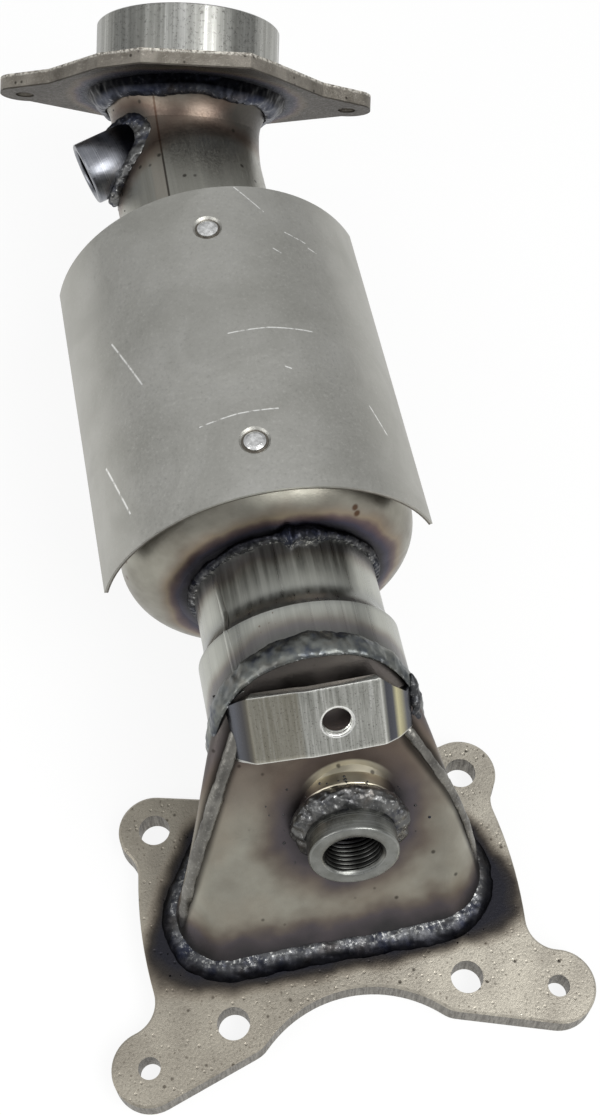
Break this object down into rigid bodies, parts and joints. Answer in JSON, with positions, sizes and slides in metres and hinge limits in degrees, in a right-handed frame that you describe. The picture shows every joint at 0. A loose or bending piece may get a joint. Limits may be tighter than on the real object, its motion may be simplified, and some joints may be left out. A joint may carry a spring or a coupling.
{
  "type": "catalytic converter",
  "caption": "Close-coupled catalytic converter: plate flange and pressed inlet housing turn into a cylindrical can under a curved heat shield, with an angled flanged outlet and sensor bosses.",
  "frame": {"origin": "on the gasket face of the inlet flange, midway between the two lower stud holes", "axes": "+Z out of the plate into the housing, square to the gasket face; +Y along the can from inlet to outlet; +X across the plate, to the right when the plate is nearest the viewer"},
  "size_m": [0.1494, 0.3821, 0.121],
  "materials": {
    "plate_steel": "blasted, pitted steel plate",
    "plate_dark": "flame-cut dark steel plate",
    "housing_steel": "pressed stainless sheet, satin, heat tinted",
    "tube_steel": "drawn stainless tube",
    "elbow_steel": "drawn stainless tube, satin",
    "spigot_steel": "machined stainless tube",
    "cap_steel": "pressed stainless sheet, heat tinted",
    "shield_steel": "rolled stainless sheet, satin",
    "stud_steel": "bright headed stud",
    "strap_steel": "brushed steel strip",
    "boss_steel": "turned steel",
    "boss_dark": "turned steel, heat blued",
    "weld_metal": "rippled weld bead",
    "ceramic": "coated cordierite honeycomb",
    "mat": "ceramic fibre mat"
  },
  "bodies": {
    "root": {"inlet_flange": "plate_steel", "housing_front_shell": "housing_steel", "housing_rear_shell": "housing_steel", "housing_base_weld": "weld_metal", "front_sensor_boss": "boss_steel", "front_boss_weld": "weld_metal", "inlet_neck": "tube_steel", "neck_housing_weld": "weld_metal", "strap_bracket": "strap_steel", "inlet_end_cap": "cap_steel", "outlet_end_cap": "cap_steel", "can_shell": "cap_steel", "inlet_girth_weld": "weld_metal", "outlet_girth_weld": "weld_metal", "catalyst_brick": "ceramic", "support_mat": "mat", "neck_can_weld": "weld_metal", "elbow_can_weld": "weld_metal", "outlet_elbow": "elbow_steel", "rear_sensor_boss": "boss_dark", "rear_boss_weld": "weld_metal", "outlet_flange": "plate_dark", "outlet_flange_weld": "weld_metal", "outlet_spigot": "spigot_steel", "heat_shield": "shield_steel", "front_shield_stud": "stud_steel", "rear_shield_stud": "stud_steel"}
  },
  "joints": []
}
